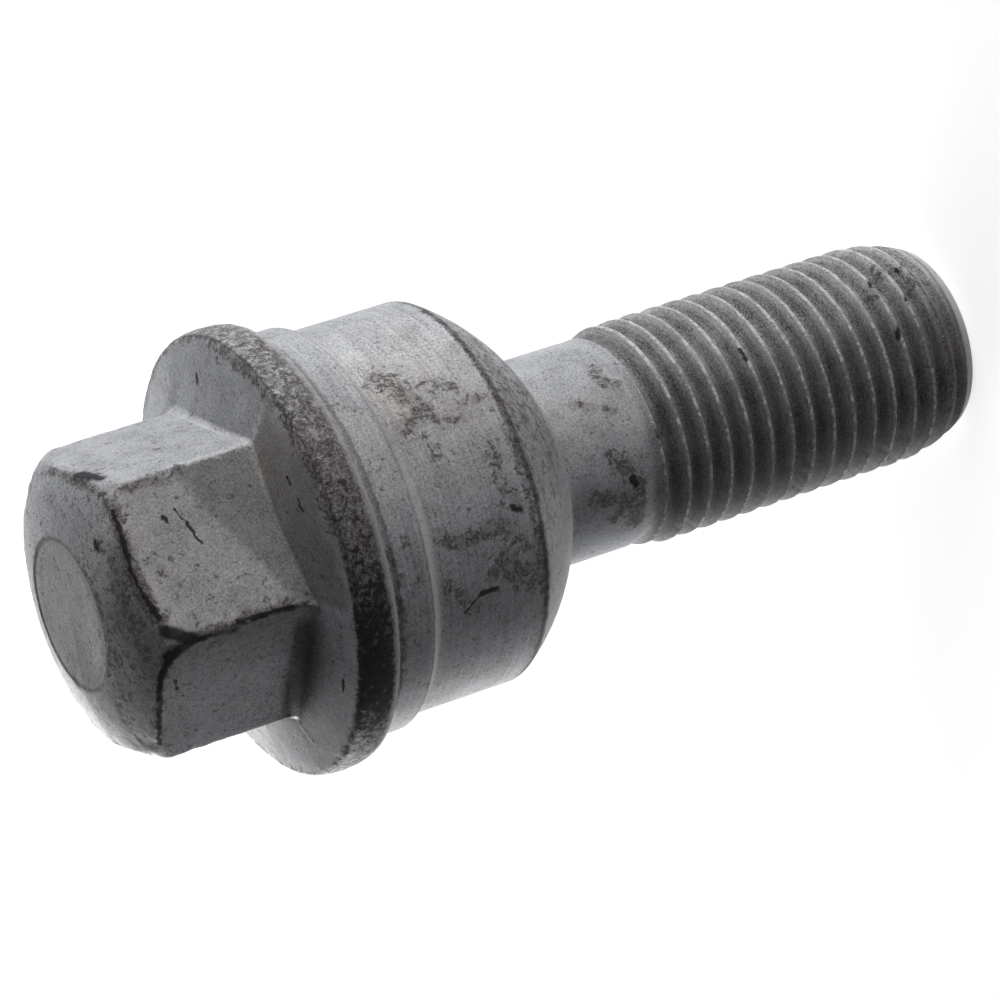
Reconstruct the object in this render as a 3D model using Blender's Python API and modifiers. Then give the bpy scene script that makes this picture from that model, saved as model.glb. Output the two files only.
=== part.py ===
"""Wheel bolt: a hexagon head with a flange, a stepped round body, a ball seat and a threaded shank.

The bolt is forged, turned and thread-rolled from one piece of steel, so it is one solid.
It stands on the end of its thread. The origin is the middle of that end face, +Z runs up the
axis to the head, and two flats of the hexagon face along X.
"""
import math

import bmesh
import bpy
from mathutils import Matrix, Vector

MM = 0.001

# Hexagon and crown
HEX_ACROSS_FLATS = 17.0 * MM
HEX_EDGE_RADIUS = 0.5 * MM
HEX_FOOT_FILLET = 0.5 * MM
HEAD_HEIGHT = 11.7 * MM
HEAD_FACE_RADIUS = 4.5 * MM
CROWN_BALL_RADIUS = 21.5 * MM
CROWN_EDGE_RADIUS = 1.6 * MM

# Flange, which stands out from the collar below it and rises in a shallow cone to the hexagon
FLANGE_OVERHANG = 1.21 * MM
FLANGE_FACE_SLOPE = math.radians(13.0)
FLANGE_THICKNESS = 2.6 * MM
FLANGE_RIM_BULGE = 0.2 * MM
FLANGE_EDGE_RADIUS = 0.3 * MM

# Short collar, to which a hollow leads out from the body
COLLAR_STEP = 0.55 * MM
COLLAR_HOLLOW_LENGTH = 0.9 * MM
COLLAR_LENGTH = 2.8 * MM
COLLAR_CORNER_FILLET = 0.3 * MM
COLLAR_EDGE_RADIUS = 0.15 * MM

# Body and ball seat: the body's side cuts the seat's ball a little inside its widest place
SEAT_BALL_RADIUS = 14.0 * MM
BODY_INSET = 2.12 * MM
BODY_LENGTH = 7.9 * MM
SEAT_EDGE_RADIUS = 0.4 * MM
SEAT_ROOT_FILLET = 0.4 * MM

# Shank
UNDER_SEAT_LENGTH = 29.9 * MM
SHANK_RADIUS = 6.49 * MM
SHANK_LENGTH = 6.5 * MM

# Thread: metric form, so its depth and root follow from the pitch
THREAD_PITCH = 1.5 * MM
THREAD_CREST_RADIUS = 6.93 * MM
THREAD_DEPTH = 0.566 * THREAD_PITCH
THREAD_ROOT_FLAT = 0.18 * THREAD_PITCH
THREAD_FLANK_ANGLE = math.radians(30.0)
THREAD_START_ANGLE = math.radians(-100.0)
RUN_OUT_LENGTH = 3.0 * MM
RUN_OUT_IN_SHANK = 1.45 * MM
LEAD_LENGTH = 5.4 * MM
LEAD_ARC_RADIUS = 12.0 * MM
TIP_EDGE_RADIUS = 0.5 * MM

# How deep solids are buried in each other where they are joined, and how far a tool reaches past
JOIN_DEPTH = 0.6 * MM
FOOT_SINK = 0.02 * MM
TOOL_MARGIN = 0.25 * MM

# Facets
TURNED_STEPS = 60
THREAD_STEPS = 30
ROUNDING_STEPS = 3
FLAT_CUTS = 4
FOOT_STEPS = 3
HOLLOW_STEPS = 3
CROWN_STEPS = 4
SEAT_STEPS = 8
RIM_STEPS = 4
LEAD_STEPS = 8
MERGE_DISTANCE = 0.001 * MM

# Radii worked out from the sizes above
HEX_HALF = HEX_ACROSS_FLATS / 2
HEX_CORNER_RADIUS = HEX_HALF / math.cos(math.pi / 6)
BODY_RADIUS = SEAT_BALL_RADIUS - BODY_INSET
COLLAR_RADIUS = BODY_RADIUS + COLLAR_STEP
FLANGE_RADIUS = COLLAR_RADIUS + FLANGE_OVERHANG
FLANGE_FACE_RADIUS = FLANGE_RADIUS - FLANGE_RIM_BULGE
THREAD_ROOT_RADIUS = THREAD_CREST_RADIUS - THREAD_DEPTH

# Heights along the axis, worked out from the sizes above
SEAT_CENTRE_Z = UNDER_SEAT_LENGTH + math.sqrt(SEAT_BALL_RADIUS ** 2 - SHANK_RADIUS ** 2)
SEAT_TOP_Z = SEAT_CENTRE_Z - math.sqrt(SEAT_BALL_RADIUS ** 2 - BODY_RADIUS ** 2)
BODY_TOP_Z = SEAT_TOP_Z + BODY_LENGTH
COLLAR_TOP_Z = BODY_TOP_Z + COLLAR_LENGTH
FLANGE_TOP_Z = COLLAR_TOP_Z + FLANGE_THICKNESS
HEAD_TOP_Z = FLANGE_TOP_Z + HEAD_HEIGHT
THREAD_TOP_Z = UNDER_SEAT_LENGTH - SHANK_LENGTH


def clear_scene():
    """Remove every object of the open file."""
    for obj in list(bpy.data.objects):
        bpy.data.objects.remove(obj, do_unlink=True)


def new_collection(name):
    """Add a collection to the scene and return it."""
    collection = bpy.data.collections.new(name)
    bpy.context.scene.collection.children.link(collection)
    return collection


def coating_material():
    """The dull grey zinc-flake coating that covers the whole bolt."""
    material = bpy.data.materials.new("zinc_flake_coating")
    material.use_nodes = True
    shader = material.node_tree.nodes["Principled BSDF"]
    shader.inputs["Base Color"].default_value = (0.30, 0.29, 0.29, 1.0)
    shader.inputs["Metallic"].default_value = 0.55
    shader.inputs["Roughness"].default_value = 0.5
    return material


def arc(centre, radius, start, end, steps):
    """Points (r, z) on an arc about a centre, from one angle to another, both ends included."""
    angles = [start + (end - start) * i / steps for i in range(steps + 1)]
    return [(centre[0] + radius * math.cos(a), centre[1] + radius * math.sin(a)) for a in angles]


def rounded(corners):
    """An outline of (r, z, rounding radius) corners as plain points, with its corners rounded.

    A rounding is kept shorter than half of the two sides that it lies on.
    """
    points = []
    for i, (r, z, radius) in enumerate(corners):
        here = Vector((r, z))
        if radius == 0.0:
            points.append(here)
            continue
        back = Vector(corners[i - 1][:2]) - here
        ahead = Vector(corners[i + 1][:2]) - here
        half_angle = back.angle(ahead) / 2
        reach = radius / math.tan(half_angle)
        reach = min(reach, 0.48 * back.length, 0.48 * ahead.length)
        radius = reach * math.tan(half_angle)
        centre = here + (back.normalized() + ahead.normalized()).normalized() * radius / math.sin(half_angle)
        first = here + back.normalized() * reach - centre
        last = here + ahead.normalized() * reach - centre
        for k in range(ROUNDING_STEPS + 1):
            points.append(centre + first.lerp(last, k / ROUNDING_STEPS).normalized() * radius)
    return [(p[0], p[1]) for p in points]


def add_object(name, mesh, collection, material):
    """Link a mesh to a collection as an object with the bolt's material."""
    mesh.materials.append(material)
    obj = bpy.data.objects.new(name, mesh)
    collection.objects.link(obj)
    return obj


def make_tool(obj):
    """Mark an object as one that only shapes another."""
    obj.hide_render = True
    obj.display_type = "WIRE"


def turned(name, outline, collection, material):
    """A solid of revolution about Z. The outline runs down its outer side, from axis to axis."""
    mesh = bpy.data.meshes.new(name)
    edges = [(i, i + 1) for i in range(len(outline) - 1)]
    mesh.from_pydata([(r, 0.0, z) for r, z in outline], edges, [])
    obj = add_object(name, mesh, collection, material)
    screw = obj.modifiers.new("Turn", "SCREW")
    screw.steps = TURNED_STEPS
    screw.render_steps = TURNED_STEPS
    screw.use_merge_vertices = True
    screw.merge_threshold = MERGE_DISTANCE
    return obj


def combine(obj, operation, other):
    """Join another solid to this one, or keep only what both hold."""
    boolean = obj.modifiers.new(f"{operation.title()} {other.name}", "BOOLEAN")
    boolean.operation = operation
    boolean.solver = "EXACT"
    boolean.object = other


def seat_arc():
    """The ball seat's side, from the body down to the shank."""
    body_angle = -math.acos(BODY_RADIUS / SEAT_BALL_RADIUS)
    shank_angle = -math.acos(SHANK_RADIUS / SEAT_BALL_RADIUS)
    return arc((0.0, SEAT_CENTRE_Z), SEAT_BALL_RADIUS, body_angle, shank_angle, SEAT_STEPS)


def rim_arc():
    """The flange's rim, slightly barrelled, from its front edge down to its back edge."""
    half = FLANGE_THICKNESS / 2
    radius = (half ** 2 + FLANGE_RIM_BULGE ** 2) / (2 * FLANGE_RIM_BULGE)
    spread = math.asin(half / radius)
    return arc((FLANGE_RADIUS - radius, FLANGE_TOP_Z - half), radius, spread, -spread, RIM_STEPS)


def flange_face_z(radius):
    """Height of the flange's conical front face at a distance from the axis."""
    return FLANGE_TOP_Z + (FLANGE_FACE_RADIUS - radius) * math.tan(FLANGE_FACE_SLOPE)


def hollow_arc():
    """The hollow below the collar, from the collar's edge down to where it is tangent to the body."""
    turn = 2 * math.atan(COLLAR_STEP / COLLAR_HOLLOW_LENGTH)
    radius = COLLAR_HOLLOW_LENGTH / math.sin(turn)
    centre = (BODY_RADIUS + radius, BODY_TOP_Z - COLLAR_HOLLOW_LENGTH)
    return arc(centre, radius, math.pi - turn, math.pi, HOLLOW_STEPS)


def round_body(collection, material):
    """Flange, collar, body, ball seat and plain shank, turned as one."""
    rim = rim_arc()
    seat = seat_arc()
    plug_radius = THREAD_ROOT_RADIUS - JOIN_DEPTH
    inner_radius = HEX_HALF - JOIN_DEPTH
    corners = [(0.0, flange_face_z(inner_radius), 0.0)]
    corners.append((inner_radius, flange_face_z(inner_radius), 0.0))
    corners.append((*rim[0], FLANGE_EDGE_RADIUS))
    corners += [(r, z, 0.0) for r, z in rim[1:-1]]
    corners.append((*rim[-1], FLANGE_EDGE_RADIUS))
    corners.append((COLLAR_RADIUS, COLLAR_TOP_Z, COLLAR_CORNER_FILLET))
    corners.append((COLLAR_RADIUS, BODY_TOP_Z, COLLAR_EDGE_RADIUS))
    corners += [(r, z, 0.0) for r, z in hollow_arc()[1:]]
    corners.append((*seat[0], SEAT_EDGE_RADIUS))
    corners += [(r, z, 0.0) for r, z in seat[1:-1]]
    corners.append((*seat[-1], SEAT_ROOT_FILLET))
    corners.append((SHANK_RADIUS, THREAD_TOP_Z, 0.0))
    corners.append((plug_radius, THREAD_TOP_Z - (SHANK_RADIUS - plug_radius), 0.0))
    corners.append((0.0, THREAD_TOP_Z - (SHANK_RADIUS - plug_radius), 0.0))
    return turned("wheel_bolt", rounded(corners), collection, material)


def foot_sections():
    """The fillet between flange and flats: how far it stands out, and how far above the flange's cone."""
    slope = FLANGE_FACE_SLOPE
    centre = (HEX_FOOT_FILLET, HEX_FOOT_FILLET * (1 - math.sin(slope)) / math.cos(slope))
    fillet = arc(centre, HEX_FOOT_FILLET, 1.5 * math.pi - slope, math.pi, FOOT_STEPS)
    return [(out, up + out * math.tan(slope) - FOOT_SINK) for out, up in fillet]


def grow_section(shape, below, keep_below, factor):
    """Extrude a face upwards and scale its copy, which becomes the top. The old face can go."""
    grown = bmesh.ops.extrude_face_region(shape, geom=[below])["geom"]
    top = next(item for item in grown if isinstance(item, bmesh.types.BMFace))
    if not keep_below:
        bmesh.ops.delete(shape, geom=[below], context="FACES_ONLY")
    bmesh.ops.scale(shape, vec=(factor, factor, 1.0), verts=top.verts[:])
    return top


def hexagon_prism(collection, material):
    """The hexagon with rounded edges, widening in a fillet that follows the flange's cone."""
    mesh = bpy.data.meshes.new("hexagon")
    shape = bmesh.new()
    bmesh.ops.create_circle(shape, cap_ends=True, segments=6, radius=HEX_CORNER_RADIUS)
    bmesh.ops.bevel(shape, geom=shape.verts[:], offset=HEX_EDGE_RADIUS * math.tan(math.pi / 6),
                    offset_type="OFFSET", segments=ROUNDING_STEPS, profile=0.5, affect="VERTICES",
                    material=-1)
    flats = [e for e in shape.edges if e.calc_length() > HEX_HALF / 2]
    bmesh.ops.subdivide_edges(shape, edges=flats, cuts=FLAT_CUTS)
    shape.faces.ensure_lookup_table()
    sections = foot_sections()
    base = shape.faces[0]
    base_factor = (HEX_HALF + sections[0][0]) / HEX_HALF
    bmesh.ops.scale(shape, vec=(base_factor, base_factor, 1.0), verts=base.verts[:])
    bmesh.ops.translate(shape, vec=(0.0, 0.0, FLANGE_TOP_Z - JOIN_DEPTH), verts=base.verts[:])
    top = base
    half_width = HEX_HALF + sections[0][0]
    for out, rise in sections:
        top = grow_section(shape, top, top is base, (HEX_HALF + out) / half_width)
        half_width = HEX_HALF + out
        for vert in top.verts:
            vert.co.z = flange_face_z(vert.co.xy.length) + rise
    top = grow_section(shape, top, False, 1.0)
    for vert in top.verts:
        vert.co.z = HEAD_TOP_Z + JOIN_DEPTH
    bmesh.ops.recalc_face_normals(shape, faces=shape.faces)
    shape.to_mesh(mesh)
    shape.free()
    return add_object("hexagon", mesh, collection, material)


def crown_envelope(collection, material):
    """The turned outline that the hexagon is trimmed to: end face, ball crown, rounded corners."""
    ball_z = HEAD_TOP_Z - math.sqrt(CROWN_BALL_RADIUS ** 2 - HEAD_FACE_RADIUS ** 2)
    side_radius = HEX_CORNER_RADIUS + TOOL_MARGIN / 2
    edge_r = side_radius - CROWN_EDGE_RADIUS
    start = math.acos(HEAD_FACE_RADIUS / CROWN_BALL_RADIUS)
    tangent = math.acos(edge_r / (CROWN_BALL_RADIUS - CROWN_EDGE_RADIUS))
    edge_z = ball_z + (CROWN_BALL_RADIUS - CROWN_EDGE_RADIUS) * math.sin(tangent)
    foot_z = flange_face_z(HEX_HALF) + HEX_FOOT_FILLET + TOOL_MARGIN
    wide_radius = HEX_CORNER_RADIUS + 2 * HEX_FOOT_FILLET
    outline = [(0.0, HEAD_TOP_Z)]
    outline += arc((0.0, ball_z), CROWN_BALL_RADIUS, start, tangent, CROWN_STEPS)
    outline += arc((edge_r, edge_z), CROWN_EDGE_RADIUS, tangent, 0.0, ROUNDING_STEPS)[1:]
    outline.append((side_radius, foot_z))
    outline.append((wide_radius, foot_z))
    outline.append((wide_radius, FLANGE_TOP_Z - 2 * JOIN_DEPTH))
    outline.append((0.0, FLANGE_TOP_Z - 2 * JOIN_DEPTH))
    return turned("crown_envelope", outline, collection, material)


def thread_rod(collection, material):
    """A threaded rod, right hand: one pitch of the thread's outline wound up round the core."""
    flank = THREAD_DEPTH * math.tan(THREAD_FLANK_ANGLE)
    outline = [(THREAD_ROOT_RADIUS, 0.0)]
    outline.append((THREAD_ROOT_RADIUS, THREAD_ROOT_FLAT))
    outline.append((THREAD_CREST_RADIUS, THREAD_ROOT_FLAT + flank))
    outline.append((THREAD_CREST_RADIUS, THREAD_PITCH - flank))
    outline.append((THREAD_ROOT_RADIUS, THREAD_PITCH))
    base_z = -2 * THREAD_PITCH
    turns = math.ceil((THREAD_TOP_Z - base_z) / THREAD_PITCH) + 2
    shape = bmesh.new()
    verts = [shape.verts.new((r, 0.0, base_z + z)) for r, z in outline]
    edges = [shape.edges.new(pair) for pair in zip(verts, verts[1:])]
    bmesh.ops.spin(shape, geom=verts + edges, cent=(0.0, 0.0, 0.0), axis=(0.0, 0.0, 1.0),
                   dvec=(0.0, 0.0, THREAD_PITCH / THREAD_STEPS), angle=2 * math.pi * turns,
                   steps=THREAD_STEPS * turns, use_duplicate=False)
    bmesh.ops.remove_doubles(shape, verts=shape.verts, dist=MERGE_DISTANCE)
    close_rod_end(shape, base_z + THREAD_PITCH / 2, lower=True)
    close_rod_end(shape, base_z + (turns + 0.5) * THREAD_PITCH, lower=False)
    bmesh.ops.rotate(shape, matrix=Matrix.Rotation(THREAD_START_ANGLE, 3, "Z"), verts=shape.verts)
    bmesh.ops.recalc_face_normals(shape, faces=shape.faces)
    mesh = bpy.data.meshes.new("thread")
    shape.to_mesh(mesh)
    shape.free()
    return add_object("thread", mesh, collection, material)


def close_rod_end(shape, centre_z, lower):
    """Draw the open rim of one end of the rod together to a point on the axis."""
    rim = [e for e in shape.edges if e.is_boundary and (e.verts[0].co.z < THREAD_TOP_Z / 2) == lower]
    grown = bmesh.ops.extrude_edge_only(shape, edges=rim)["geom"]
    verts = [v for v in grown if isinstance(v, bmesh.types.BMVert)]
    bmesh.ops.pointmerge(shape, verts=verts, merge_co=(0.0, 0.0, centre_z))


def thread_envelope(collection, material):
    """The turned outline that the rod is trimmed to: run-out cone, rounded lead and end face."""
    wide_radius = THREAD_CREST_RADIUS + TOOL_MARGIN
    top_z = THREAD_TOP_Z + RUN_OUT_IN_SHANK
    run_out = (wide_radius - THREAD_ROOT_RADIUS) * RUN_OUT_LENGTH / THREAD_DEPTH
    lead_centre = (THREAD_CREST_RADIUS - LEAD_ARC_RADIUS, LEAD_LENGTH)
    lead = arc(lead_centre, LEAD_ARC_RADIUS, 0.0, -math.asin(LEAD_LENGTH / LEAD_ARC_RADIUS), LEAD_STEPS)
    corners = [(0.0, top_z, 0.0)]
    corners.append((THREAD_ROOT_RADIUS, top_z, 0.0))
    corners.append((wide_radius, top_z - run_out, 0.0))
    corners.append((wide_radius, LEAD_LENGTH + THREAD_PITCH, 0.0))
    corners += [(r, z, 0.0) for r, z in lead[:-1]]
    corners.append((*lead[-1], TIP_EDGE_RADIUS))
    corners.append((0.0, 0.0, 0.0))
    return turned("thread_envelope", rounded(corners), collection, material)


def main():
    clear_scene()
    bolt_parts = new_collection("wheel_bolt")
    tools = new_collection("shaping_tools")
    material = coating_material()

    head = hexagon_prism(tools, material)
    crown = crown_envelope(tools, material)
    combine(head, "INTERSECT", crown)

    thread = thread_rod(tools, material)
    trim = thread_envelope(tools, material)
    combine(thread, "INTERSECT", trim)

    bolt = round_body(bolt_parts, material)
    combine(bolt, "UNION", head)
    combine(bolt, "UNION", thread)

    for tool in (head, crown, thread, trim):
        make_tool(tool)


main()
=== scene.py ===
"""Wheel bolt: one closed mesh with its wound thread, turned body and forged hexagon head.

The bolt stands on the end of its thread, as the frame has it: +Z runs up the axis to the head, and
two flats of the hexagon face along X. All sizes are in metres, through MM.
"""
import math
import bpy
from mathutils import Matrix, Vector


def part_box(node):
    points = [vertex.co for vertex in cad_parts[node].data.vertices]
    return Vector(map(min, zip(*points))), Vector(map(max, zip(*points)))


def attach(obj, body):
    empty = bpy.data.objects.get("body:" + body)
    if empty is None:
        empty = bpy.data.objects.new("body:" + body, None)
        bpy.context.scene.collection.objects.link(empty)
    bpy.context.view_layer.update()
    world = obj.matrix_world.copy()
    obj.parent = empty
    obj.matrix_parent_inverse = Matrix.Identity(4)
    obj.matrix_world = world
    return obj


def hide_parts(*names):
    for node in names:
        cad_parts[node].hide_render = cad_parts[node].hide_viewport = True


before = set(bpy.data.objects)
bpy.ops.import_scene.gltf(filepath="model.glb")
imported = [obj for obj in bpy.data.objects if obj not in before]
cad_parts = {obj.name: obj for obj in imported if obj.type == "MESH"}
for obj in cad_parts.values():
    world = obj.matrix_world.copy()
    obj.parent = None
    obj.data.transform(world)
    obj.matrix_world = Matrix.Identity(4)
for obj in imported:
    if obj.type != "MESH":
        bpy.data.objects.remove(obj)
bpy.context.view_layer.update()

from types import SimpleNamespace

import bmesh
import bpy
import numpy as np
from mathutils import Matrix, Vector, noise

MM = 0.001
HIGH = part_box("wheel_bolt")[1]

# Head, measured down from the top of the frame
HEAD_TOP_Z = HIGH[2]
HEAD_HEIGHT = 11.7 * MM
HEX_HALF = 8.5 * MM
HEX_EDGE_RADIUS = 0.45 * MM
FOOT_SWEEP = math.radians(62.0)
FOOT_RIDGE = 0.05 * MM
HEAD_FACE_RADIUS = 4.5 * MM
HEAD_FACE_GROOVE = 0.07 * MM
CROWN_BALL_RADIUS = 21.5 * MM
CROWN_FLAT_ROUNDING = 0.3 * MM
CROWN_CORNER_ROUNDING = 1.5 * MM
WORN_CORNER_ANGLE = 30.0
WORN_CORNER_ROUNDING = 1.5 * MM
WORN_CORNER_DEPTH = 0.28 * MM

# The hexagon's foot reaches unevenly high above the flange: angle in degrees, height in mm
FOOT_HEIGHTS = ((-180, 0.5), (-150, 0.4), (-120, 0.66), (-97, 0.5), (-90, 0.1), (-60, 0.16), (-30, 0.12),
                (0, 0.3), (30, 0.55), (60, 0.5), (180, 0.5))

# Flange, whose conical front face is steeper on its far side
FLANGE_RADIUS = HIGH[0]
FLANGE_FACE_SLOPE = math.radians(13.0)
FAR_SIDE_RISE = math.radians(7.0)
FAR_SIDE_ANGLE = 65.0
FLANGE_THICKNESS = 2.6 * MM
FLANGE_RIM_BULGE = 0.2 * MM
FLANGE_EDGE_RADIUS = 0.35 * MM

# Collar, body, ball seat and shank
COLLAR_RADIUS = 12.43 * MM
COLLAR_LENGTH = 2.8 * MM
COLLAR_CORNER_FILLET = 0.3 * MM
COLLAR_EDGE_RADIUS = 0.15 * MM
BODY_RADIUS = 11.88 * MM
BODY_LENGTH = 7.9 * MM
COVE_LENGTH = 0.9 * MM
SEAT_BALL_RADIUS = 14.0 * MM
SEAT_EDGE_RADIUS = 0.4 * MM
SEAT_ROOT_FILLET = 0.4 * MM
SHANK_RADIUS = 6.49 * MM
SHANK_LENGTH = 6.5 * MM

# Thread
THREAD_PITCH = 1.5 * MM
THREAD_CREST_RADIUS = 6.93 * MM
THREAD_DEPTH = 0.566 * THREAD_PITCH
THREAD_ROOT_FLAT = 0.18 * THREAD_PITCH
THREAD_FLANK_ANGLE = math.radians(30.0)
THREAD_CREST_ROUNDING = 0.07 * MM
THREAD_ROOT_ROUNDING = 0.16 * MM
THREAD_START_ANGLE = math.radians(-100.0)
RUN_OUT_LENGTH = 3.0 * MM
RUN_OUT_IN_SHANK = 1.45 * MM
LEAD_LENGTH = 4.8 * MM
LEAD_ARC_RADIUS = 10.0 * MM
TIP_EDGE_RADIUS = 0.4 * MM
TIP_BAND_LENGTH = 0.9 * MM

# Mesh: columns run up the bolt, and rows run round it
COLUMNS = 216
SECTOR_COLUMNS = COLUMNS // 6
FLAT_HALF_COLUMNS = 13
CORNER_HALF_COLUMNS = SECTOR_COLUMNS // 2 - FLAT_HALF_COLUMNS
ROW_SPACING = 0.42 * MM
MERGE_DISTANCE = 0.002 * MM

# Heights and a radius worked out from the sizes above
FLANGE_FACE_RADIUS = FLANGE_RADIUS - FLANGE_RIM_BULGE
FLANGE_TOP_Z = HEAD_TOP_Z - HEAD_HEIGHT
COLLAR_TOP_Z = FLANGE_TOP_Z - FLANGE_THICKNESS
BODY_TOP_Z = COLLAR_TOP_Z - COLLAR_LENGTH
SEAT_TOP_Z = BODY_TOP_Z - BODY_LENGTH
SEAT_CENTRE_Z = SEAT_TOP_Z + math.sqrt(SEAT_BALL_RADIUS ** 2 - BODY_RADIUS ** 2)
SHANK_TOP_Z = SEAT_CENTRE_Z - math.sqrt(SEAT_BALL_RADIUS ** 2 - SHANK_RADIUS ** 2)
THREAD_TOP_Z = SHANK_TOP_Z - SHANK_LENGTH
RUN_OUT_TOP_Z = THREAD_TOP_Z + RUN_OUT_IN_SHANK

# Heights and radii in mm, from which the zones of the finish are measured
HEAD_TOP, FLANGE_TOP, COLLAR_TOP, BODY_TOP = (
    z / MM for z in (HEAD_TOP_Z, FLANGE_TOP_Z, COLLAR_TOP_Z, BODY_TOP_Z))
SEAT_TOP, SHANK_TOP, THREAD_TOP, TIP_BAND = (
    z / MM for z in (SEAT_TOP_Z, SHANK_TOP_Z, THREAD_TOP_Z, TIP_BAND_LENGTH))
RIM_R, BODY_R, FACE_R = (radius / MM for radius in (FLANGE_RADIUS, BODY_RADIUS, HEAD_FACE_RADIUS))


def round_trail(radius, first, last, height):
    """A trail round the axis at one height, in stops of about ten degrees."""
    steps = max(1, round(abs(last - first) / 10))
    return tuple((radius, first + (last - first) * k / steps, height) for k in range(steps + 1))


# Stains and wear, as (distance from the axis, angle, height) in mm and degrees, then width and strength.
# Brown stains keep to edges and to a few clusters.
CROWN_EDGE = ((8.3, 13, 58.7), (8.4, -15, 58.7), (9.0, -26, 58.4), (8.9, -37, 58.3), (8.6, -47, 58.5),
              (8.3, -60, 58.7), (8.4, -69, 58.6), (9.0, -81, 58.2), (9.3, -88, 58.1))
GRIME_TRAILS = (
    (CROWN_EDGE, 0.4, 0.6),
    (CROWN_EDGE[3:8], 0.65, 0.75),
    (round_trail(11.85, -4, -116, 35.0), 0.42, 0.58),
    (round_trail(11.85, -58, -100, 35.2), 0.6, 0.58),
    (round_trail(13.0, -2, -70, 48.2), 0.5, 0.6),
    (round_trail(6.7, -8, -116, 2.4), 0.28, 0.72),
    (round_trail(6.85, -4, -84, 3.8), 0.24, 0.66),
    (round_trail(4.75, -30, -125, 59.85), 0.35, 0.62),
    (round_trail(4.7, -165, -195, 59.85), 0.35, 0.6),
    # Painted shadow on the collar, in the corner behind the flange's rim
    (round_trail(12.45, -78, -128, 45.1), 0.3, 0.75),
    (round_trail(10.8, -22, -72, 33.5), 0.3, 0.52),
    (round_trail(9.7, -40, -100, 32.3), 0.25, 0.52),
    (((6.5, -93.4, 25.5), (6.5, -102.6, 25.1), (6.5, -107.6, 26.2), (6.5, -115, 27.0)), 0.4, 0.75),
    (((9.6, -89, 50.3), (9.6, -89, 57.4)), 0.38, 0.8),
    (((9.6, -31, 53.7), (9.6, -33, 57.9)), 0.45, 0.55),
    (((6.6, -40, 59.3), (7.4, -52, 59.1), (7.2, -64, 59.2)), 0.7, 0.5),
    (((7.0, -65, 59.2), (7.3, -85, 59.1), (8.0, -100, 58.8)), 1.1, 0.55),
    (((5.9, -80, 59.6), (5.7, -109, 59.6), (6.9, -148, 59.2)), 1.2, 0.5),
    (((8.4, -2, 58.6), (8.6, -16, 57.9)), 0.8, 0.45),
    (((8.6, -14, 56.6), (8.9, -18, 54.6)), 0.35, 0.4),
    (((8.5, -59, 57.5), (8.6, -68, 56.9), (8.7, -72, 56.4), (8.9, -76, 56.9)), 0.4, 0.45),
    (((11.9, -30, 40.9), (11.9, -39, 40.3), (11.9, -44, 39.8), (11.9, -48, 41.0)), 1.0, 0.58),
    (((11.9, -33, 41.9), (11.9, -31, 40.0)), 0.6, 0.5),
    (((11.9, -44, 39.9), (11.9, -50, 39.0), (11.9, -50, 38.1)), 0.5, 0.55),
    (((11.9, -51, 40.4), (11.9, -60, 40.1)), 0.4, 0.55),
    (((11.9, -40, 38.4), (11.9, -41, 37.0), (11.9, -46, 37.2), (11.9, -46, 35.7)), 0.5, 0.45),
    (((11.9, -36, 40.1), (11.9, -38, 37.4)), 0.35, 0.5),
    (((11.9, -60, 36.6), (11.9, -74, 37.0), (11.9, -79, 36.3)), 0.55, 0.5),
    (((11.9, -81, 41.5), (11.9, -84, 40.2), (11.9, -83, 37.5), (11.9, -89, 36.4)), 0.8, 0.55),
    (((11.9, -94, 37.9), (11.9, -102, 35.4)), 1.3, 0.58),
    (((11.9, -96, 41.5), (11.9, -104, 40.0)), 1.0, 0.45),
    (((12.4, -37, 44.8), (12.4, -41, 43.3)), 0.35, 0.5),
    (((12.4, -77, 43.9), (12.4, -90, 43.6)), 0.5, 0.5),
    (((6.5, -45, 27.9), (6.5, -56, 25.6)), 0.5, 0.5),
    (((6.5, -28, 25.3), (6.5, -36, 25.6), (6.5, -42, 24.6)), 0.55, 0.6),
    (((6.5, -78, 26.7), (6.5, -83, 26.3), (6.5, -95, 25.2)), 0.8, 0.6),
    (((6.5, -97, 28.2), (6.5, -104, 26.6), (6.5, -109, 25.4), (6.5, -122, 25.4)), 0.9, 0.65),
    (((6.6, -40, 5.9), (6.6, -24, 4.1), (6.5, -30, 2.8), (6.5, -44, 3.2)), 0.8, 0.52),
)
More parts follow.
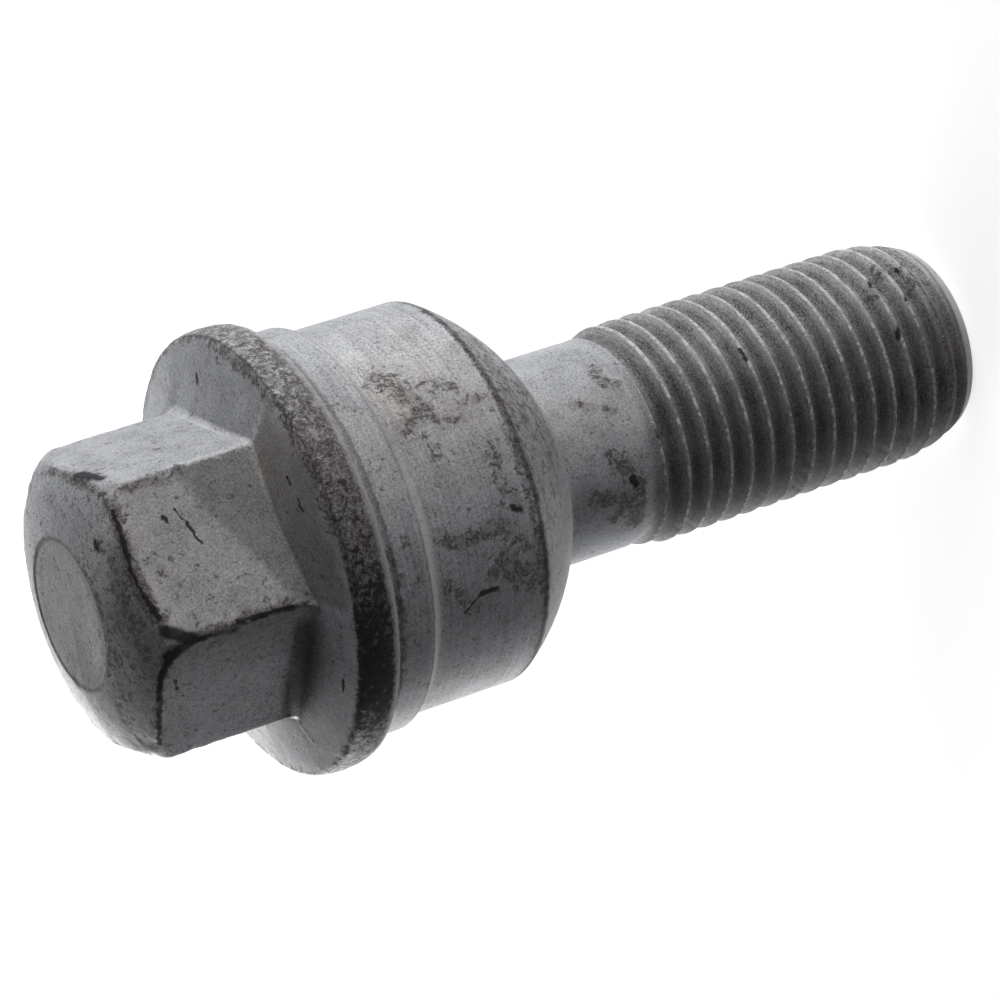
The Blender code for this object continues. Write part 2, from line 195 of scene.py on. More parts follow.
# Near-black marks with a clear outline: from, to, half width in mm
SOOT_MARKS = (
    ((8.56, -9.6, 58.26), (8.81, -15.8, 58.08), 0.75),
    ((8.81, -15.8, 58.08), (9.03, -21.0, 57.82), 0.45),
    ((6.7, -40, 59.3), (6.7, -41, 59.3), 0.42),
    ((8.9, -37, 58.3), (8.6, -47, 58.5), 0.22),
    ((8.6, -47, 58.5), (8.3, -60, 58.7), 0.26),
    ((8.3, -60, 58.7), (8.5, -71, 58.5), 0.22),
    ((8.5, -71, 58.5), (9.0, -81, 58.2), 0.26),
    ((8.84, -43.7, 54.95), (8.6, -50.7, 54.5), 0.1),
    ((8.6, -50.7, 54.5), (8.48, -58.4, 54.14), 0.13),
    ((8.77, -45.4, 55.75), (8.73, -46.5, 55.6), 0.2),
    ((11.2, 9.4, 48.71), (10.8, 8.8, 48.78), 0.26),
    ((10.87, -49.8, 48.78), (10.9, -52.2, 48.76), 0.16),
    ((10.96, -57.5, 48.76), (10.96, -61.5, 48.74), 0.15),
    ((11.9, -113.5, 48.53), (11.95, -117.5, 48.53), 0.18),
    ((9.2, -85, 58.2), (9.75, -90, 56.7), 0.6),
    ((9.75, -90, 56.7), (9.2, -95, 58.2), 0.6),
    ((9.3, -94, 58.0), (8.6, -104, 58.5), 0.34),
    ((8.6, -104, 58.5), (8.5, -128, 58.4), 0.3),
    ((8.5, -128, 58.4), (9.0, -142, 58.1), 0.26),
    ((9.7, -91, 56.5), (9.7, -92, 53.9), 0.3),
    ((9.7, -89, 53.9), (9.7, -90, 50.4), 0.2),
    ((9.9, -90, 50.6), (10.2, -90, 49.9), 0.5),
    ((8.7, -107, 57.7), (8.6, -113, 57.4), 0.16),
    ((11.9, -100.3, 38.4), (11.9, -100.4, 39.4), 0.3),
    ((11.9, -100.4, 39.4), (11.9, -104.6, 40.5), 0.13),
    ((9.5, -148.5, 49.75), (10.3, -151.6, 48.9), 0.2),
    ((10.3, -151.6, 48.9), (10.87, -151.1, 48.77), 0.15),
    ((10.87, -151.1, 48.77), (11.44, -150.7, 48.64), 0.12),
    ((6.5, -93.4, 25.6), (6.5, -97, 25.4), 0.34),
    ((6.9, -33.5, 5.7), (6.8, -25, 5.2), 0.2),
    ((6.85, -48, 4.1), (6.75, -36, 3.3), 0.22),
    ((6.75, -36, 3.3), (6.5, -25.5, 3.1), 0.24),
    ((11.9, -79, 36.5), (11.9, -80, 36.1), 0.3),
    ((6.9, -54, 4.9), (6.9, -65, 5.7), 0.3),
    ((6.9, -46, 16.2), (6.9, -52, 16.1), 0.22),
    ((6.9, -33, 3.3), (6.9, -44, 3.2), 0.3),
    ((6.9, -36, 4.9), (6.9, -42, 4.7), 0.26),
    ((6.7, -71, 23.7), (6.7, -78, 23.2), 0.24),
)

# Painted shade on the darker lower side of the crown
LOWER_CROWN = ((7.9, -52, 59.0), (7.6, -75, 59.0), (8.2, -100, 58.8))

# Dark lines round the axis: radius, height and half width in mm, then strength
SOOT_RINGS = (
    (4.58, 59.88, 0.2, 0.45),
    (13.42, 48.12, 0.17, 0.65),
    # Painted shadow on the collar, in the corner behind the flange's rim
    (12.45, 45.02, 0.26, 0.5),
    (12.42, 42.86, 0.13, 0.36),
    (11.84, 34.98, 0.3, 0.6),
    (6.2, 0.98, 0.2, 0.4),
)

# How deep the uneven forging, the turned skin, the chips and the nicks in the crests go
FORGED_DEPTH = 0.03 * MM
TURNED_DEPTH = 0.005 * MM
CHIP_DEPTH = 0.13 * MM
NICK_DEPTH = 0.07 * MM

# The coating's grain and relief, how far the outlines of marks stray, and its shine
FLAKE_SIZE = 0.13 * MM
RELIEF_DEPTH = 0.045 * MM
MARK_STRAY = 0.45 * MM
COATING_ROUGHNESS = 0.52
COATING_SHINE = 0.32

# Lines left by turning and by thread rolling: where, line width, line length, strength
TOOLING_LINES = (
    ("turned", 0.2 * MM, 5.0 * MM, 1.25),
    ("thread", 0.12 * MM, 2.0 * MM, 0.7),
)

# Colours of the finish, and of painted light: the thread's paler top, the warm tint, and the wear colour,
# which also paints highlights
COATING_COLOUR = (0.41, 0.421, 0.447, 1.0)
THREAD_COLOUR = (0.208, 0.198, 0.208, 1.0)
THREAD_PAINTED_LIGHT_COLOUR = (0.5, 0.5, 0.515, 1.0)
WARM_LIGHT_TINT_COLOUR = (1.03, 0.965, 0.89, 1.0)
GRIME_COLOUR = (0.122, 0.099, 0.092, 1.0)
SOOT_COLOUR = (0.022, 0.019, 0.022, 1.0)
WEAR_AND_HIGHLIGHT_COLOUR = (0.72, 0.71, 0.72, 1.0)

# The photograph's camera: where it stands, what it looks at, its turn about its own axis
CAMERA_PLACE = Vector((91.934, -241.458, 157.133)) * MM
CAMERA_AIM = Vector((-1.332, -0.514, 31.484)) * MM
CAMERA_ROLL = math.radians(108.13)
CAMERA_LENS = 172.406

# How brightly the floor glows to the camera, and how much light the white tent gives by itself
FLOOR_GLOW = 0.72
TENT_LIGHT = 0.004

# Soft boxes about the bolt: angle and elevation in degrees, distance, width and height, power in watts
LAMP_AIM = Vector((0.0, 0.0, 33.0)) * MM
LAMPS = (
    ("key_box", -8.0, 12.0, 0.6, (0.4, 0.4), 1.72),
    ("key_strip", 20.0, 0.0, 0.4, (0.3, 0.066), 0.78),
    ("back_box", 80.0, 12.0, 0.6, (0.4, 0.4), 0.5),
    ("far_box", 120.0, 8.0, 0.6, (0.4, 0.4), 0.98),
    ("under_strip", 152.0, 0.0, 0.4, (0.3, 0.066), 1.1),
    ("edge_strip", 136.0, 0.0, 0.4, (0.3, 0.066), 1.1),
)


def arc(centre, radius, start, end, steps):
    """Points (r, z) on an arc about a centre, from one angle to another, both ends included."""
    angles = [start + (end - start) * i / steps for i in range(steps + 1)]
    return [(centre[0] + radius * math.cos(a), centre[1] + radius * math.sin(a)) for a in angles]


def rounded(corners, steps):
    """An outline of (r, z, rounding radius) corners as plain points, with its corners rounded."""
    points = []
    for i, (r, z, radius) in enumerate(corners):
        here = Vector((r, z))
        if radius == 0.0:
            points.append(here)
            continue
        back = Vector(corners[i - 1][:2]) - here
        ahead = Vector(corners[i + 1][:2]) - here
        half_angle = back.angle(ahead) / 2
        reach = radius / math.tan(half_angle)
        inward = (back.normalized() + ahead.normalized()).normalized()
        centre = here + inward * radius / math.sin(half_angle)
        first = here + back.normalized() * reach - centre
        last = here + ahead.normalized() * reach - centre
        for k in range(steps + 1):
            points.append(centre + first.lerp(last, k / steps).normalized() * radius)
    return [(p[0], p[1]) for p in points]


def evened(points, spacing):
    """The same outline with points added, so that none lies further than the spacing from the next."""
    even = [points[0]]
    for here, there in zip(points, points[1:]):
        length = math.dist(here, there)
        parts = max(1, math.ceil(length / spacing))
        even += [tuple(a + (b - a) * k / parts for a, b in zip(here, there)) for k in range(1, parts + 1)]
    return even


def smooth_step(value, low, high):
    """0 below low, 1 above high, and an even S between them."""
    t = min(max((value - low) / (high - low), 0.0), 1.0)
    return t * t * (3.0 - 2.0 * t)


def soft_min(a, b, width):
    """The smaller of two lengths, with the crossing rounded over a width."""
    t = min(max(0.5 + 0.5 * (b - a) / width, 0.0), 1.0)
    return b + (a - b) * t - width * t * (1.0 - t)


def bell(value, centre, width):
    """1 at the centre, falling off evenly to both sides."""
    return math.exp(-((value - centre) / width) ** 2)


def thread_outline():
    """One pitch of the thread as (r, z): root, flank, crest, flank, with its corners rounded."""
    flank = THREAD_DEPTH * math.tan(THREAD_FLANK_ANGLE)
    root = THREAD_CREST_RADIUS - THREAD_DEPTH
    crest = THREAD_CREST_RADIUS
    corners = [(root, THREAD_ROOT_FLAT / 2, 0.0),
               (root, THREAD_ROOT_FLAT, THREAD_ROOT_ROUNDING),
               (crest, THREAD_ROOT_FLAT + flank, THREAD_CREST_ROUNDING),
               (crest, THREAD_PITCH - flank, THREAD_CREST_ROUNDING),
               (root, THREAD_PITCH, THREAD_ROOT_ROUNDING),
               (root, THREAD_PITCH + THREAD_ROOT_FLAT / 2, 0.0)]
    return evened(rounded(corners, 2), THREAD_DEPTH * 0.5)


def wind_thread(shape):
    """Wind one pitch of the outline round the axis, right hand, repeat it up the shank, cut it level."""
    outline = thread_outline()
    base_z = -2 * THREAD_PITCH
    turns = math.ceil((RUN_OUT_TOP_Z - base_z) / THREAD_PITCH) + 2
    verts = [shape.verts.new((r, 0.0, base_z + z)) for r, z in outline]
    edges = [shape.edges.new(pair) for pair in zip(verts, verts[1:])]
    bmesh.ops.spin(shape, geom=verts + edges, cent=(0.0, 0.0, 0.0), axis=(0.0, 0.0, 1.0),
                   dvec=(0.0, 0.0, THREAD_PITCH / COLUMNS), angle=2 * math.pi,
                   steps=COLUMNS, use_duplicate=False)
    first_turn = shape.verts[:] + shape.edges[:] + shape.faces[:]
    for turn in range(1, turns):
        copied = bmesh.ops.duplicate(shape, geom=first_turn)["geom"]
        bmesh.ops.translate(shape, vec=(0.0, 0.0, turn * THREAD_PITCH),
                            verts=[item for item in copied if isinstance(item, bmesh.types.BMVert)])
    bmesh.ops.remove_doubles(shape, verts=shape.verts, dist=MERGE_DISTANCE)
    bmesh.ops.rotate(shape, matrix=Matrix.Rotation(THREAD_START_ANGLE, 3, "Z"), verts=shape.verts)
    for height, side in ((0.0, -1.0), (RUN_OUT_TOP_Z, 1.0)):
        bmesh.ops.bisect_plane(shape, geom=shape.verts[:] + shape.edges[:] + shape.faces[:],
                               dist=MERGE_DISTANCE / 4, plane_co=(0.0, 0.0, height),
                               plane_no=(0.0, 0.0, side), clear_outer=True)


def lead_radius(z):
    """How far out the rounded lead lets the thread reach at a height above the tip."""
    z = max(z, 0.0)
    inward = max(LEAD_LENGTH - z, 0.0)
    arc_radius = THREAD_CREST_RADIUS - LEAD_ARC_RADIUS + math.sqrt(LEAD_ARC_RADIUS ** 2 - inward ** 2)
    edge = max(TIP_EDGE_RADIUS - z, 0.0)
    return arc_radius - TIP_EDGE_RADIUS + math.sqrt(TIP_EDGE_RADIUS ** 2 - edge ** 2)


def taper_thread(shape):
    """Fade the grooves into the shank at the run-out, and round the thread off at the lead."""
    crest_end_z = RUN_OUT_TOP_Z - RUN_OUT_LENGTH
    for vert in shape.verts:
        radius = vert.co.xy.length
        groove = (THREAD_CREST_RADIUS - radius) / THREAD_DEPTH
        crest = THREAD_CREST_RADIUS + (SHANK_RADIUS - THREAD_CREST_RADIUS) * smooth_step(
            vert.co.z, crest_end_z, THREAD_TOP_Z + 0.4 * THREAD_PITCH)
        left = 1.0 - smooth_step(vert.co.z, THREAD_TOP_Z - 0.5 * THREAD_PITCH, RUN_OUT_TOP_Z - 0.1 * MM)
        new_radius = soft_min(crest - groove * THREAD_DEPTH * left, lead_radius(vert.co.z), 0.08 * MM)
        vert.co.xy *= new_radius / radius


def column_of(place):
    """Which column a place stands on, as a number that isn't whole between two columns."""
    return math.atan2(place.y, place.x) / (2 * math.pi) * COLUMNS


def open_edges(shape, height):
    """The edges of the open end at a height."""
    return [e for e in shape.edges if e.is_boundary and abs(e.verts[0].co.z - height) < 0.05 * MM]


def end_ring(shape, height):
    """The edges of the open end at a height, with one vertex for each column."""
    edges = open_edges(shape, height)
    targets = {}
    for vert in list({v for e in edges for v in e.verts}):
        column = column_of(vert.co)
        if abs(column - round(column)) > 0.02:
            others = [e.other_vert(vert) for e in vert.link_edges if e in edges]
            targets[vert] = min(others, key=lambda v: (v.co - vert.co).length)
    bmesh.ops.weld_verts(shape, targetmap=targets)
    return open_edges(shape, height)


def extrude_ring(shape, edges, place):
    """Extrude a ring of edges and put each new vertex where place(vertex) says."""
    grown = bmesh.ops.extrude_edge_only(shape, edges=edges)["geom"]
    for item in grown:
        if isinstance(item, bmesh.types.BMVert):
            item.co = place(item)
    return [item for item in grown if isinstance(item, bmesh.types.BMEdge)]


def follow_outline(shape, edges, points):
    """Extrude a round ring along an outline of (r, z) points."""
    for radius, z in points:
        def on_circle(vert):
            flat = vert.co.xy.normalized() * radius
            return Vector((flat.x, flat.y, z))
        edges = extrude_ring(shape, edges, on_circle)
    return edges


def close_ring(shape, edges, z):
    """Close a ring with a last row that is drawn together to one point on the axis."""
    grown = bmesh.ops.extrude_edge_only(shape, edges=edges)["geom"]
    verts = [item for item in grown if isinstance(item, bmesh.types.BMVert)]
    bmesh.ops.pointmerge(shape, verts=verts, merge_co=(0.0, 0.0, z))


def cove_arc():
    """The hollow that leads from the body out to the collar: tangent to the body, at an angle above."""
    step = COLLAR_RADIUS - BODY_RADIUS
    turn = 2 * math.atan(step / COVE_LENGTH)
    radius = COVE_LENGTH / math.sin(turn)
    centre = (BODY_RADIUS + radius, BODY_TOP_Z - COVE_LENGTH)
    return arc(centre, radius, math.pi, math.pi - turn, 6)[:-1]


def body_outline():
    """Shank, ball seat, body, collar and flange as (r, z), from the run-out up to the flange's front."""
    shank_angle = -math.acos(SHANK_RADIUS / SEAT_BALL_RADIUS)
    body_angle = -math.acos(BODY_RADIUS / SEAT_BALL_RADIUS)
    seat = arc((0.0, SEAT_CENTRE_Z), SEAT_BALL_RADIUS, shank_angle, body_angle, 10)
    half = FLANGE_THICKNESS / 2
    bulge = (half ** 2 + FLANGE_RIM_BULGE ** 2) / (2 * FLANGE_RIM_BULGE)
    spread = math.asin(half / bulge)
    rim = arc((FLANGE_RADIUS - bulge, FLANGE_TOP_Z - half), bulge, -spread, spread, 4)
    corners = [(SHANK_RADIUS, RUN_OUT_TOP_Z, 0.0)]
    corners.append((*seat[0], SEAT_ROOT_FILLET))
    corners += [(r, z, 0.0) for r, z in seat[1:-1]]
    corners.append((*seat[-1], SEAT_EDGE_RADIUS))
    corners += [(r, z, 0.0) for r, z in cove_arc()]
    corners.append((COLLAR_RADIUS, BODY_TOP_Z, COLLAR_EDGE_RADIUS))
    corners.append((COLLAR_RADIUS, COLLAR_TOP_Z, COLLAR_CORNER_FILLET))
    corners.append((*rim[0], FLANGE_EDGE_RADIUS))
    corners += [(r, z, 0.0) for r, z in rim[1:-1]]
    corners.append((*rim[-1], FLANGE_EDGE_RADIUS))
    inner = rim[-1][0] - 2 * FLANGE_EDGE_RADIUS
    corners.append((inner, FLANGE_TOP_Z + flange_face_rise(inner, -60.0), 0.0))
    return evened(rounded(corners, 4), ROW_SPACING)


def hexagon_point(angle):
    """Where a column stands on the hexagon's outline, and the outline's outward direction there.

    Columns are drawn together at the rounded corners, so that the roundings come out smooth.
    """
    column = angle / (2 * math.pi) * COLUMNS
    sector = math.floor(column / SECTOR_COLUMNS + 0.5)
    local = column - sector * SECTOR_COLUMNS
    half_flat = (HEX_HALF - HEX_EDGE_RADIUS) * math.tan(math.pi / 6)
    along = min(abs(local) / FLAT_HALF_COLUMNS, 1.0) * half_flat
    turn = max(abs(local) - FLAT_HALF_COLUMNS, 0.0) / CORNER_HALF_COLUMNS * math.pi / 6
    side = math.copysign(1.0, local)
    point = Vector((HEX_HALF - HEX_EDGE_RADIUS * (1 - math.cos(turn)),
                    side * (along + HEX_EDGE_RADIUS * math.sin(turn)), 0.0))
    outward = Vector((math.cos(turn), side * math.sin(turn), 0.0))
    to_sector = Matrix.Rotation(sector * math.pi / 3, 3, "Z")
    return to_sector @ point, to_sector @ outward


def cornered(radius):
    """0 in the middle of a flat and 1 at a sharp corner, from how far out the outline is."""
    return (radius - HEX_HALF) / (HEX_HALF / math.cos(math.pi / 6) - HEX_HALF)


def worn(degrees):
    """How much of the worn corner's wear a column has."""
    return bell(degrees, WORN_CORNER_ANGLE, 9.0)


def crown_edge(radius, degrees):
    """Centre, radius and turn of the rounding between a column's side and the ball of the crown."""
    rounding = CROWN_FLAT_ROUNDING + (CROWN_CORNER_ROUNDING - CROWN_FLAT_ROUNDING) * cornered(radius)
    rounding += WORN_CORNER_ROUNDING * worn(degrees)
    ball_z = HEAD_TOP_Z - math.sqrt(CROWN_BALL_RADIUS ** 2 - HEAD_FACE_RADIUS ** 2)
    edge_r = radius - rounding
    turn = math.acos(edge_r / (CROWN_BALL_RADIUS - rounding))
    return (edge_r, ball_z + (CROWN_BALL_RADIUS - rounding) * math.sin(turn)), rounding, turn, ball_z


def flange_face_rise(radius, degrees):
    """How far the flange's conical front face has risen above its front edge at a place."""
    slope = FLANGE_FACE_SLOPE + FAR_SIDE_RISE * bell(degrees, FAR_SIDE_ANGLE, 35.0)
    return (FLANGE_FACE_RADIUS - radius) * math.tan(slope)


def head_column(angle, start):
    """The places of one column of the head, from the flange's front face up to the flat end face."""
    degrees = math.degrees(angle)
    point, outward = hexagon_point(angle)
    point -= outward * WORN_CORNER_DEPTH * worn(degrees)
    radius = point.length
    base_z = FLANGE_TOP_Z + flange_face_rise(radius, degrees)
    height = float(np.interp(degrees, *zip(*FOOT_HEIGHTS))) * MM
    run = 0.9 * height + 0.05 * MM
    drop = run * math.tan(FLANGE_FACE_SLOPE)
    ridge = FOOT_RIDGE * bell(degrees, 0.0, 26.0)
    places = []
    foot = point + outward * run + Vector((0.0, 0.0, base_z - drop))
    for k in range(1, 8):
        places.append(start.lerp(foot, k / 7))
    for k in range(1, 7):
        sweep = FOOT_SWEEP * k / 6
        out = run * (1 - math.sin(sweep) / math.sin(FOOT_SWEEP)) + ridge * (k == 6)
        up = (height + drop) * (1 - math.cos(sweep)) / (1 - math.cos(FOOT_SWEEP)) - drop
        places.append(point + outward * out + Vector((0.0, 0.0, base_z + up)))

    spoke = point.normalized()
    centre, rounding, turn, ball_z = crown_edge(radius, degrees)
    foot_z = base_z + height
    for rise, share in ((0.08, 1.0), (0.18, 0.6), (0.32, 0.0)):
        places.append(point + outward * ridge * share + Vector((0.0, 0.0, foot_z + rise * MM)))
    side_z = foot_z + 0.32 * MM
    outline = [(radius, side_z + (centre[1] - side_z) * k / 22) for k in range(1, 22)]
    outline += arc(centre, rounding, 0.0, turn, 6)
    face_turn = math.acos(HEAD_FACE_RADIUS / CROWN_BALL_RADIUS)
    outline += arc((0.0, ball_z), CROWN_BALL_RADIUS, turn, face_turn, 13)[1:]
    places += [spoke * r + Vector((0.0, 0.0, z)) for r, z in outline]
    return places


def build_head(shape, edges):
    """Extrude the flange's front ring inwards and up through the hexagon and the crown."""
    column_layer = shape.verts.layers.int["column"]
    ring = {v[column_layer]: v.co.copy() for e in edges for v in e.verts}
    columns = {c: head_column(math.atan2(co.y, co.x), co) for c, co in ring.items()}
    for row in range(len(columns[0])):
        edges = extrude_ring(shape, edges, lambda vert, row=row: columns[vert[column_layer]][row])
    groove_r = HEAD_FACE_RADIUS - 1.5 * HEAD_FACE_GROOVE
    face_z = HEAD_TOP_Z - HEAD_FACE_GROOVE / 2
    outline = [(groove_r, HEAD_TOP_Z - HEAD_FACE_GROOVE), (groove_r - 2 * HEAD_FACE_GROOVE, face_z)]
    outline += [(groove_r * (1 - k / 8), face_z) for k in range(1, 8)]
    edges = follow_outline(shape, edges, outline)
    close_ring(shape, edges, face_z)


def mark_columns(shape, edges):
    """Write each ring vertex's column number, which its extruded copies then carry."""
    layer = shape.verts.layers.int["column"]
    for vert in {v for e in edges for v in e.verts}:
        vert[layer] = round(column_of(vert.co)) % COLUMNS


def bolt_mesh():
    """The whole bolt as one closed mesh."""
    shape = bmesh.new()
    shape.verts.layers.int.new("column")
    wind_thread(shape)
    top = end_ring(shape, RUN_OUT_TOP_Z)
    bottom = end_ring(shape, 0.0)
    taper_thread(shape)

    tip_radius = lead_radius(0.0)
    edges = follow_outline(shape, bottom, [(tip_radius * (1 - k / 12), 0.0) for k in range(1, 12)])
    close_ring(shape, edges, 0.0)

    mark_columns(shape, top)
    edges = follow_outline(shape, top, body_outline()[1:])
    build_head(shape, edges)

    bmesh.ops.recalc_face_normals(shape, faces=shape.faces)
    shape.verts.layers.int.remove(shape.verts.layers.int["column"])
    mesh = bpy.data.meshes.new("wheel_bolt_forged")
    shape.to_mesh(mesh)
    shape.free()
    mesh.shade_smooth()
    return mesh


def on_bolt(radius, degrees, height):
    """A place in metres from its distance to the axis in mm, its angle and its height in mm."""
    angle = math.radians(degrees)
    return np.array((radius * math.cos(angle), radius * math.sin(angle), height)) * MM


def trail_distance(places, trail):
    """How far each place lies from a trail of straight stretches."""
    nearest = np.full(len(places), np.inf)
    stops = [on_bolt(*stop) for stop in trail]
    for start, end in zip(stops, stops[1:]):
        along = end - start
        share = np.clip((places - start) @ along / max(along @ along, 1e-12), 0.0, 1.0)
        nearest = np.minimum(nearest, np.linalg.norm(places - start - share[:, None] * along, axis=1))
    return nearest


def fade(values, full, none):
    """1 where a value has reached full, 0 where it has reached none, and an even S between them."""
    t = np.clip((values - none) / (full - none), 0.0, 1.0)
    return t * t * (3.0 - 2.0 * t)


def hump(values, centre, width):
    """1 at the centre, falling off evenly to both sides."""
    return np.exp(-((values - centre) / width) ** 2)


def write_attribute(mesh, name, values):
    """Keep one number for each vertex, for the materials to read."""
    attribute = mesh.attributes.new(name, "FLOAT", "POINT")
    attribute.data.foreach_set("value", np.clip(values, 0.0, 1.0).astype(np.float32))


def bolt_places(places):
    """How far each place lies from the axis and how high, in mm, and its angle in degrees."""
    radius = np.hypot(places[:, 0], places[:, 1]) / MM
    return radius, places[:, 2] / MM, np.degrees(np.arctan2(places[:, 1], places[:, 0]))


def most(*masks):
    """The greatest of several masks at each place."""
    return np.maximum.reduce(masks)


def part_masks(places):
    """Where the parts of the bolt lie whose finish differs, each with a soft border."""
    r, z, degrees = bolt_places(places)
    head = fade(z - FLANGE_TOP, 0.4, 0)
    side = fade(z - HEAD_TOP, -1.9, -1.3) * head
    below_body = fade(z - SEAT_TOP, -0.1, 0.3)
    rim = fade(r - RIM_R, -0.44, -0.84) * fade(z - FLANGE_TOP, 0.1, 0.3)
    turned = fade(z - SHANK_TOP, 1.1, -0.4) * fade(z - COLLAR_TOP, -0.1, 0.1)
    return SimpleNamespace(
        head=head, turned=turned * (0.6 + 0.4 * below_body),
        seat=fade(z - SHANK_TOP, 1.1, 0.5) * below_body,
        rim=rim * fade(z - COLLAR_TOP, -0.1, -0.3),
        thread=fade(z - THREAD_TOP, -0.1, 0.7) * fade(z - TIP_BAND, 0.1, -0.15),
        above_thread=fade(z - THREAD_TOP, 0.6, -0.4),
        crown=fade(z - HEAD_TOP, -1.5, -2.1) * head,
        front_flat=fade(np.abs(degrees + 60), 29, 31) * side,
        lower_flat=fade(np.abs(degrees + 120), 29, 31) * side * fade(r, 10.1, 10.6))


def grime_mask(places, part):
    """How heavily brown stains cover each place, and painted shadow on the collar behind the flange."""
    r, _, degrees = bolt_places(places)
    grime = most(0.12 + 0.05 * part.head + 0.08 * fade(np.abs(degrees + 100), 10, 40),
                 part.crown * fade(r - FACE_R, 0.7, 0.3) * (0.23 + 0.21 * hump(degrees, -98, 45)),
                 part.rim * (0.55 + 0.25 * hump(degrees, -85, 40)),
                 part.seat * (0.26 + 0.14 * hump(degrees, -50, 35)))
    for trail, width, strength in GRIME_TRAILS:
        reach = trail_distance(places, trail) / MM
        grime = most(grime, strength * fade(reach, width * 0.2, width * 1.5))
    return grime


def painted_shade_mask(places, part):
    """Painted shade: how much darker the coating is made low down, in corners and on the side away from the
    light.
    """
    r, z, degrees = bolt_places(places)
    foot = fade(z - FLANGE_TOP, 1.6, 2.5) * fade(r, 8.7, 11.3) * part.head
    foot *= most(0.85 * fade(np.abs(degrees + 130), 31, 40), hump(degrees, -150, 9))
    wedge = fade(z - FLANGE_TOP - 1.7 - 4.4 * (degrees + 90) / 60, -0.15, 0.25) * part.front_flat
    low_side = hump(degrees, -104, 17) * fade(z - COLLAR_TOP, 0, 0.2) * part.above_thread
    lower_crown = fade(trail_distance(places, LOWER_CROWN) / MM, 0.5, 1.9) * part.crown
    top_flat = part.head * fade(np.abs(degrees), 27, 31) * fade(z - HEAD_TOP, -1.5, -1.1)
    return most(foot, 0.36 * wedge, 0.26 * low_side, 0.36 * lower_crown, 0.1 * top_flat,
                0.2 * part.seat * hump(degrees, -62, 22),
                0.5 * part.rim * hump(degrees, -108, 20),
                0.3 * part.head * fade(np.abs(degrees + 168), 10, 34),
                part.lower_flat * (0.19 + 0.33 * hump(degrees, -92, 16)),
                0.36 * part.thread * fade(np.abs(degrees + 150), 15, 45),
                0.25 * part.thread * fade(z, 8, 2) * hump(degrees, -20, 40))


def wear_mask(places, part):
    """Where the metal shows worn through in patches: on the rim, along one edge of the head and on the
    seat.
    """
    r, z, degrees = bolt_places(places)
    worn_edge = hump(degrees, -30, 2) * fade(r, 9.4, 9.2) * fade(z - FLANGE_TOP, 5.3, 6.8) * part.head
    seat = part.seat * 0.42 * hump(degrees, -88, 26) * fade(z - SEAT_TOP, -1.9, -3.3)
    return most(part.rim * (0.14 + 0.32 * hump(degrees, 5, 42)), worn_edge * 0.6, seat)


def painted_highlight_mask(places, part):
    """Painted highlights: bright bands on the foot's ridge, the hollow, the flange's back edge, the seat
    and the tip.
    """
    r, z, degrees = bolt_places(places)
    ridge = hump(z - FLANGE_TOP, 1.42, 0.16) * hump(degrees, 0, 24) * fade(r, 9.5, 9.9) * part.head
    cove = fade(r - BODY_R, 0.05, -0.02) * hump(z - BODY_TOP, -0.3, 0.5) * fade(z - BODY_TOP, 0.15, 0.25)
    cove *= 0.15 + 0.6 * fade(np.abs(degrees + 110), 30, 60)
    back_edge = hump(z - COLLAR_TOP, 0.24, 0.22) * fade(r - RIM_R, -0.54, -0.84)
    back_edge *= 0.4 + 0.35 * hump(degrees, -110, 40)
    lower_seat = fade(z - SHANK_TOP, 1.1, 0.3) * fade(z - SEAT_TOP, -0.4, 0) * hump(degrees, -118, 32)
    tip_band = fade(z - TIP_BAND, -0.18, 0) * (0.6 + 0.4 * hump(degrees, -95, 40))
    return most(ridge * 0.4, cove, back_edge, lower_seat, tip_band)


def painted_light_mask(places, part):
    """Painted light: the coating made paler on the lit upper side, the underside and seat, and on part of
    the flange face and the crown; the end face is paler too.
    """
    r, z, degrees = bolt_places(places)
    upper_side = part.turned * (1.0 - part.seat) * hump(degrees, -25, 16) * fade(z - BODY_TOP, 0.2, 0.7)
    under_side = part.turned * fade(degrees, -140, -120) * fade(degrees, -170, -180)
    flange_face = fade(z - FLANGE_TOP, -0.05, -0.2) * fade(z - FLANGE_TOP, 1.1, 1.4)
    return most(0.34 * fade(r - FACE_R, -0.2, 0.1) * part.head, 0.75 * upper_side, 0.7 * under_side,
                0.7 * part.seat * hump(degrees, -122, 20),
                0.36 * flange_face * hump(degrees, -36, 18),
                0.4 * part.crown * hump(degrees, -42, 15))


def zone_masks(places):
    """What the material reads at each vertex: threaded, turned, stained, sooty or worn, and where light,
    shade and a warm tint are painted.
    """
    _, z, degrees = bolt_places(places)
    part = part_masks(places)
    # A painted warm tint of light on the front
    painted_warm_light = 0.75 * hump(degrees, -52, 24) * part.above_thread
    speckled = 0.2 + 0.06 * part.turned + 0.08 * part.crown - 0.1 * part.thread * fade(z, 8, 5)
    speckled += 0.12 * part.lower_flat - 0.06 * part.front_flat
    soot = 0.26 + 0.14 * hump(degrees, -75, 30) + 0.6 * hump(degrees, -110, 22)
    return {"thread": part.thread, "turned": part.turned, "speckled": speckled,
            # Painted light on the thread's top side
            "thread_painted_light": part.thread * fade(degrees, -25, -72) * fade(degrees, 35, 75),
            "painted_warm_light": np.where(part.head > 0.5, 0.95 * part.front_flat, painted_warm_light),
            "soot": part.rim * soot * fade(z - COLLAR_TOP, 0.75, 0.45),
            "crest": part.thread * fade(z, 3, 1.4) * (0.46 + 0.16 * hump(degrees, -40, 50)),
            "grime": grime_mask(places, part), "painted_shade": painted_shade_mask(places, part),
            "wear": wear_mask(places, part), "painted_highlight": painted_highlight_mask(places, part),
            "painted_light": painted_light_mask(places, part)}


def uneven(place, size):
    """Noise from about -1 to 1 at a place, with lumps of a size."""
    return noise.noise(Vector(place) / size)


